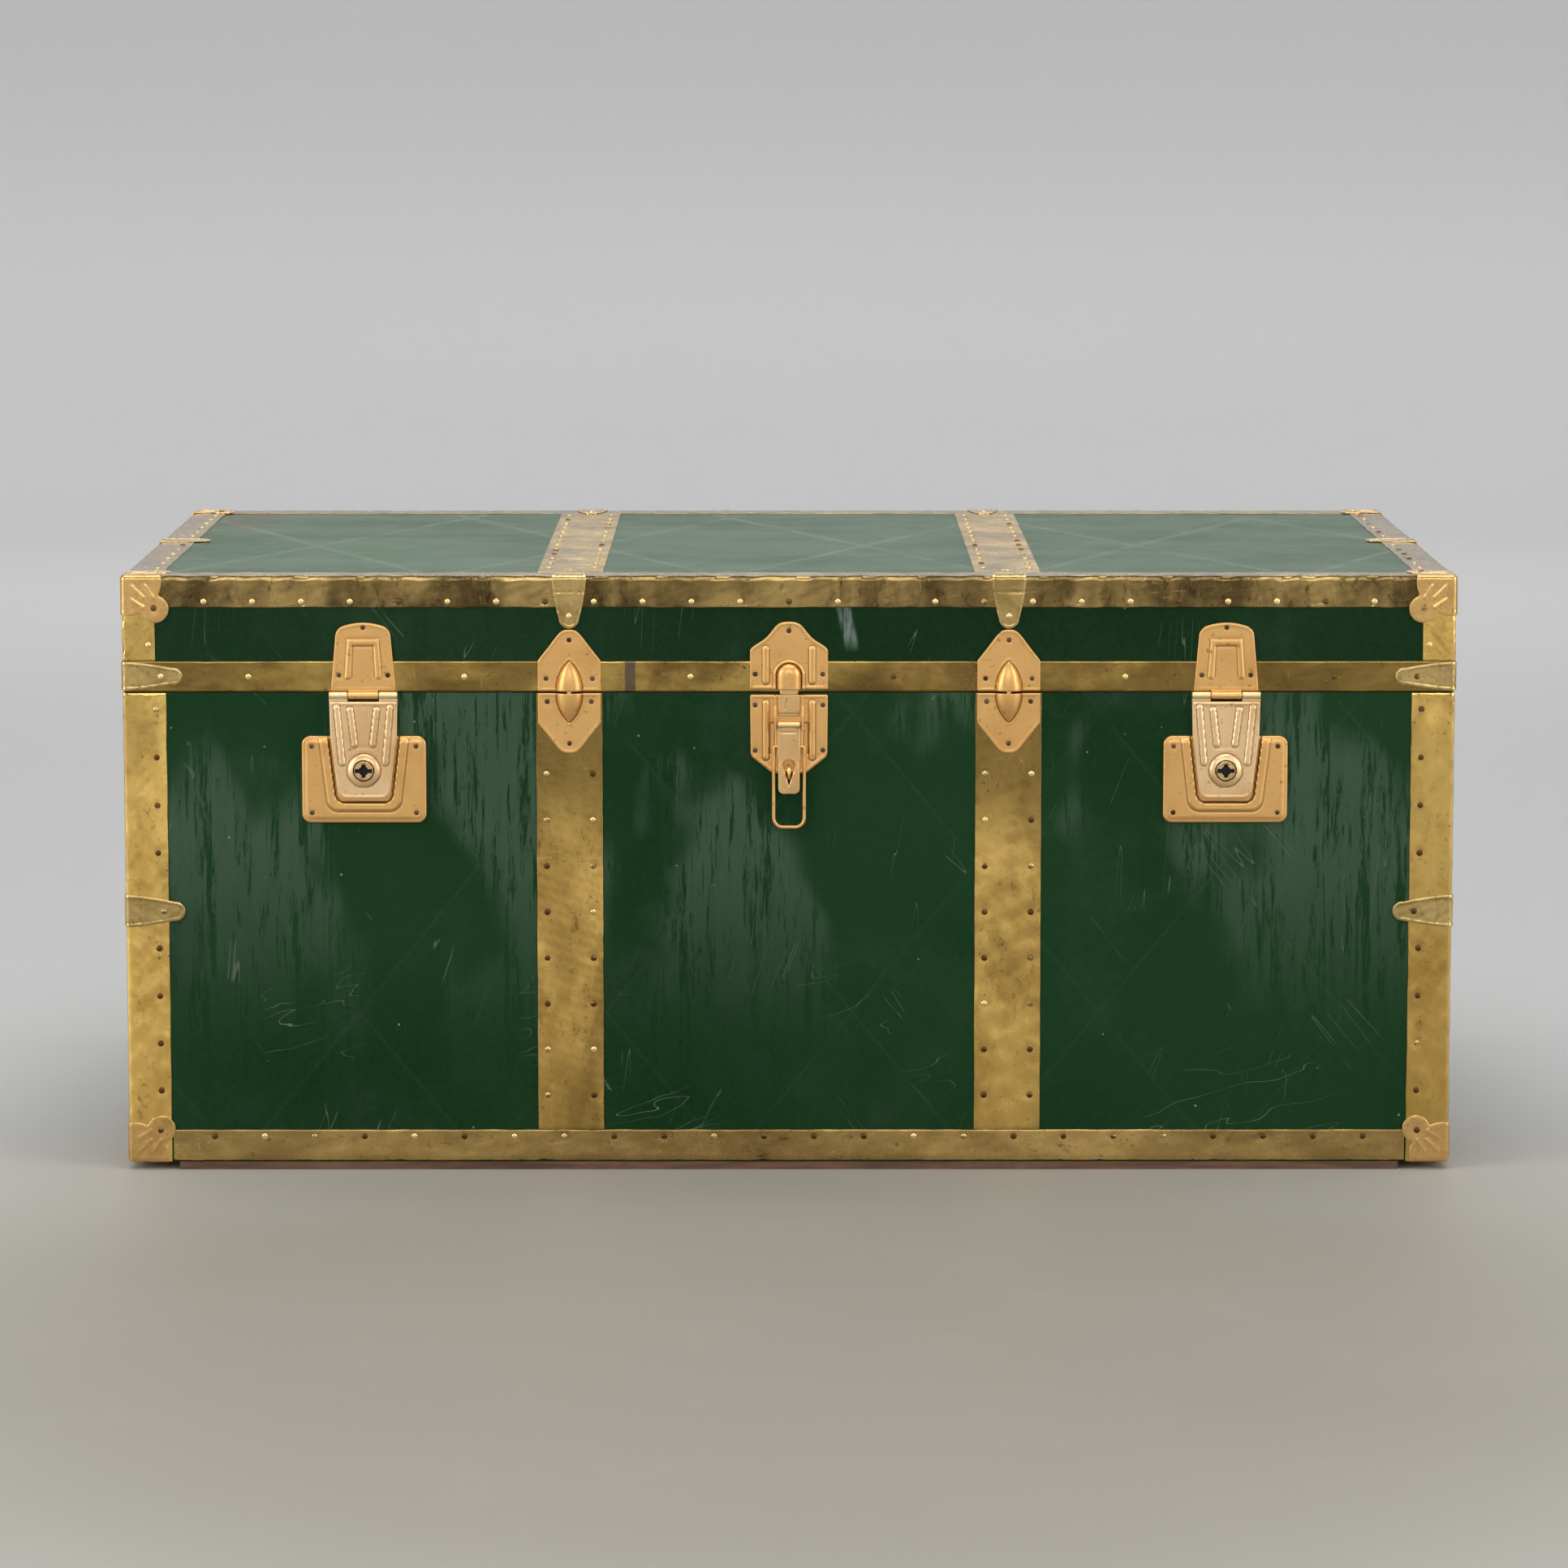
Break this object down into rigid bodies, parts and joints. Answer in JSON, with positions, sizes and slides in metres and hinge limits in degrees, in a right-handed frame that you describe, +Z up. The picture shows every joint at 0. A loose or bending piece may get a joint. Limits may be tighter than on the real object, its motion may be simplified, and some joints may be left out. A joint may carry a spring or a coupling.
{
  "type": "footlocker",
  "caption": "Green boarded footlocker trunk with brass bindings, a hinged lid, draw locks, a padlock hasp, dowels and end handles.",
  "frame": {"origin": "centre of the bounding box's underside, on the floor under the runners", "axes": "+X to the right along the width, -Y out of the front with the locks, +Z up"},
  "size_m": [1.179, 0.684, 0.5222],
  "materials": {
    "board_wood": "plain sawn plywood, dull",
    "lip_wood": "planed wood lip, dull",
    "runner_wood": "dark stained hardwood, dull",
    "green_skin": "bottle-green lacquer, scuffed, faint pressed diamonds",
    "green_lid_skin": "bottle-green lacquer, satin, faint pressed diamonds",
    "paper_lining": "aged buff lining paper",
    "brass_angle": "lacquered brass, rubbed bright at the edge",
    "brass_strip": "brass strip, dulled, with brown spots",
    "brass_strap": "brass strap, dulled",
    "brass_top_strip": "brass strip with dark mottled patina",
    "brass_cap": "stamped brass, satin",
    "brass_nail": "domed nail heads, dark with a worn crown",
    "steel_tack": "small dull steel tacks",
    "lock_lacquer": "satin gold lacquer",
    "tongue_brass": "gold lacquer worn towards silver",
    "plug_steel": "dark steel",
    "dowel_lacquer": "satin gold lacquer, darker",
    "hinge_brass": "dull brass",
    "stay_steel": "brassed steel flat bar",
    "handle_steel": "brassed steel, worn"
  },
  "bodies": {
    "case": {"front_board": "board_wood", "back_board": "board_wood", "left_end_board": "board_wood", "right_end_board": "board_wood", "bottom_board": "board_wood", "body_skin": "green_skin", "body_lining": "paper_lining", "lip_frame": "lip_wood", "bottom_runners": "runner_wood", "body_corner_angles": "brass_angle", "body_edge_strips": "brass_strip", "body_straps": "brass_strap", "body_corner_caps": "brass_cap", "body_edge_clamps": "brass_cap", "body_nails": "brass_nail", "lock_base_left": "lock_lacquer", "lock_base_right": "lock_lacquer", "hasp_base": "lock_lacquer", "hasp_hook": "tongue_brass", "padlock_eye": "lock_lacquer", "lever_pin": "plug_steel", "dowels_lower": "dowel_lacquer", "hinge_leaves_body": "hinge_brass", "hinge_pins": "hinge_brass", "handle_plates": "handle_steel", "stay_brackets_body": "stay_steel", "hardware_nails_body": "steel_tack"},
    "lid": {"lid_top_board": "board_wood", "lid_front_rail": "board_wood", "lid_back_rail": "board_wood", "lid_left_rail": "board_wood", "lid_right_rail": "board_wood", "lid_skin": "green_lid_skin", "lid_lining": "paper_lining", "lid_top_strips": "brass_top_strip", "lid_rim_strip": "brass_strip", "lid_corner_angles": "brass_angle", "lid_straps": "brass_strap", "lid_corner_caps": "brass_cap", "lid_edge_clamps": "brass_cap", "lid_nails": "brass_nail", "lock_top_plates": "lock_lacquer", "lock_pins": "plug_steel", "hasp_keeper": "lock_lacquer", "dowels_upper": "dowel_lacquer", "hinge_leaves_lid": "hinge_brass", "stay_brackets_lid": "stay_steel", "hardware_nails_lid": "steel_tack"},
    "tongue_left": {"lock_tongue_left": "tongue_brass"},
    "tongue_right": {"lock_tongue_right": "tongue_brass"},
    "plug_left": {"lock_plug_left": "plug_steel"},
    "plug_right": {"lock_plug_right": "plug_steel"},
    "lever": {"hasp_lever": "tongue_brass"},
    "bail": {"hasp_bail": "lock_lacquer"},
    "grip_left": {"handle_left": "handle_steel"},
    "grip_right": {"handle_right": "handle_steel"},
    "stay_low_left": {"stay_lower_left": "stay_steel"},
    "stay_low_right": {"stay_lower_right": "stay_steel"},
    "stay_high_left": {"stay_upper_left": "stay_steel"},
    "stay_high_right": {"stay_upper_right": "stay_steel"}
  },
  "joints": [
    {"name": "lid_hinge", "type": "hinge", "parent": "case", "child": "lid", "pos_m": [0, 0.33845, 0.419], "axis": [-1, 0, 0], "range_deg": [0, 98]},
    {"name": "tongue_left_hinge", "type": "hinge", "parent": "lid", "child": "tongue_left", "pos_m": [-0.367, -0.32885, 0.4166], "axis": [-1, 0, 0], "range_deg": [0, 165]},
    {"name": "plug_left_turn", "type": "hinge", "parent": "tongue_left", "child": "plug_left", "pos_m": [-0.367, -0.32945, 0.3515], "axis": [0, -1, 0], "range_deg": [0, 90]},
    {"name": "tongue_right_hinge", "type": "hinge", "parent": "lid", "child": "tongue_right", "pos_m": [0.377, -0.32885, 0.4166], "axis": [-1, 0, 0], "range_deg": [0, 165]},
    {"name": "plug_right_turn", "type": "hinge", "parent": "tongue_right", "child": "plug_right", "pos_m": [0.377, -0.32945, 0.3515], "axis": [0, -1, 0], "range_deg": [0, 90]},
    {"name": "lever_hinge", "type": "hinge", "parent": "case", "child": "lever", "pos_m": [0, -0.33105, 0.3912], "axis": [-1, 0, 0], "range_deg": [0, 110]},
    {"name": "bail_hinge", "type": "hinge", "parent": "case", "child": "bail", "pos_m": [0, -0.32845, 0.372], "axis": [-1, 0, 0], "range_deg": [0, 150]},
    {"name": "grip_left_hinge", "type": "hinge", "parent": "case", "child": "grip_left", "pos_m": [-0.583, 0.00455, 0.3], "axis": [0, 1, 0], "range_deg": [0, 95]},
    {"name": "grip_right_hinge", "type": "hinge", "parent": "case", "child": "grip_right", "pos_m": [0.583, 0.00455, 0.3], "axis": [0, -1, 0], "range_deg": [0, 95]},
    {"name": "stay_low_left_pivot", "type": "hinge", "parent": "case", "child": "stay_low_left", "pos_m": [-0.5567, 0.13845, 0.369], "axis": [-1, 0, 0], "range_deg": [0, 98]},
    {"name": "stay_high_left_pivot", "type": "hinge", "parent": "lid", "child": "stay_high_left", "pos_m": [-0.5542, 0.13845, 0.469], "axis": [1, 0, 0], "range_deg": [0, 98]},
    {"name": "stay_low_right_pivot", "type": "hinge", "parent": "case", "child": "stay_low_right", "pos_m": [0.5567, 0.13845, 0.369], "axis": [-1, 0, 0], "range_deg": [0, 98]},
    {"name": "stay_high_right_pivot", "type": "hinge", "parent": "lid", "child": "stay_high_right", "pos_m": [0.5542, 0.13845, 0.469], "axis": [1, 0, 0], "range_deg": [0, 98]}
  ],
  "couplings": [
    {"joint": "stay_low_left_pivot", "follows": "lid_hinge", "ratio": 1},
    {"joint": "stay_high_left_pivot", "follows": "lid_hinge", "ratio": 1},
    {"joint": "stay_low_right_pivot", "follows": "lid_hinge", "ratio": 1},
    {"joint": "stay_high_right_pivot", "follows": "lid_hinge", "ratio": 1}
  ]
}
